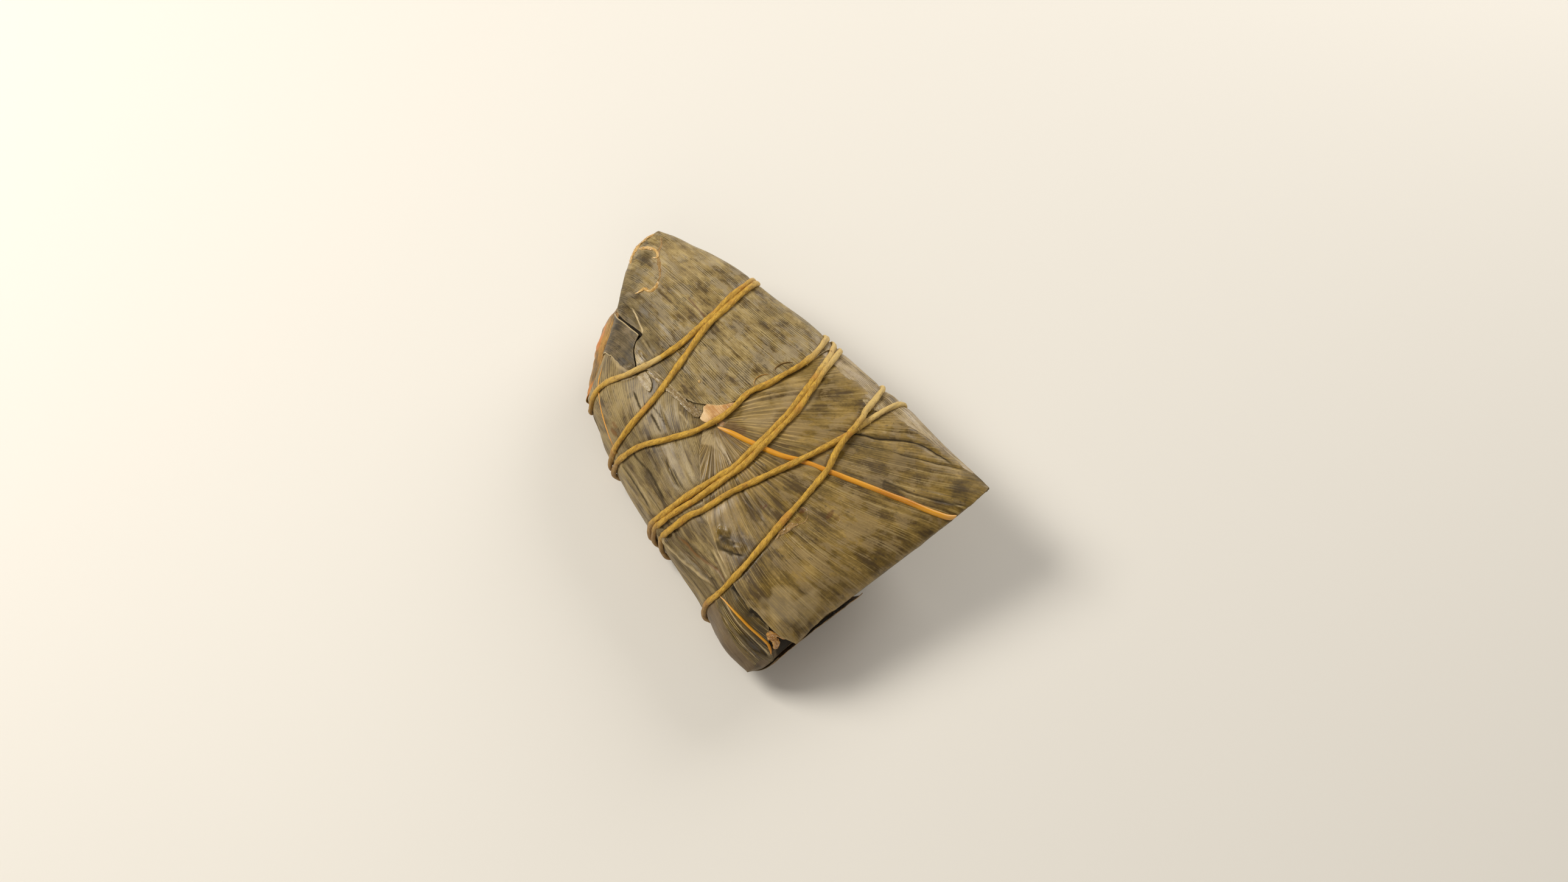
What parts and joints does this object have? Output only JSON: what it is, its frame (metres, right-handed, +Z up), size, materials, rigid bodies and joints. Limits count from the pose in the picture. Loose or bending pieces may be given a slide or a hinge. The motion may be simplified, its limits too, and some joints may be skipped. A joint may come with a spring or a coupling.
{
  "type": "zongzi rice dumpling",
  "caption": "Flat leaf-wrapped sticky rice dumpling with folded corners, a raised leaf midrib and a twine wound round it.",
  "frame": {"origin": "centre of the bounding box at the surface the dumpling lies on", "axes": "+X across the dumpling from its rounded side to its sharp folded side, +Y along it towards the narrow tip, +Z up"},
  "size_m": [0.0978, 0.1516, 0.0434],
  "materials": {
    "inner_leaf": "moist cooked bamboo leaf, satin",
    "outer_leaf": "moist cooked bamboo leaf with raised veins, satin",
    "pale_leaf": "grey-beige leaf underside, matt",
    "dark_leaf": "dark oily leaf, satin",
    "midrib": "smooth orange plant rib, satin",
    "stalk": "torn papery leaf stalk, matt",
    "twine": "twisted yellow plant-fibre twine, matt"
  },
  "bodies": {
    "root": {"parcel": "inner_leaf", "upper_leaf": "outer_leaf", "fan_leaf": "outer_leaf", "left_leaf": "outer_leaf", "end_leaf": "outer_leaf", "edge_leaf": "pale_leaf", "corner_flap": "dark_leaf", "corner_leaf": "pale_leaf", "under_leaf": "dark_leaf", "midrib": "midrib", "leaf_stalk": "stalk", "twine": "twine", "far_knot": "twine", "near_knot": "twine"}
  },
  "joints": []
}
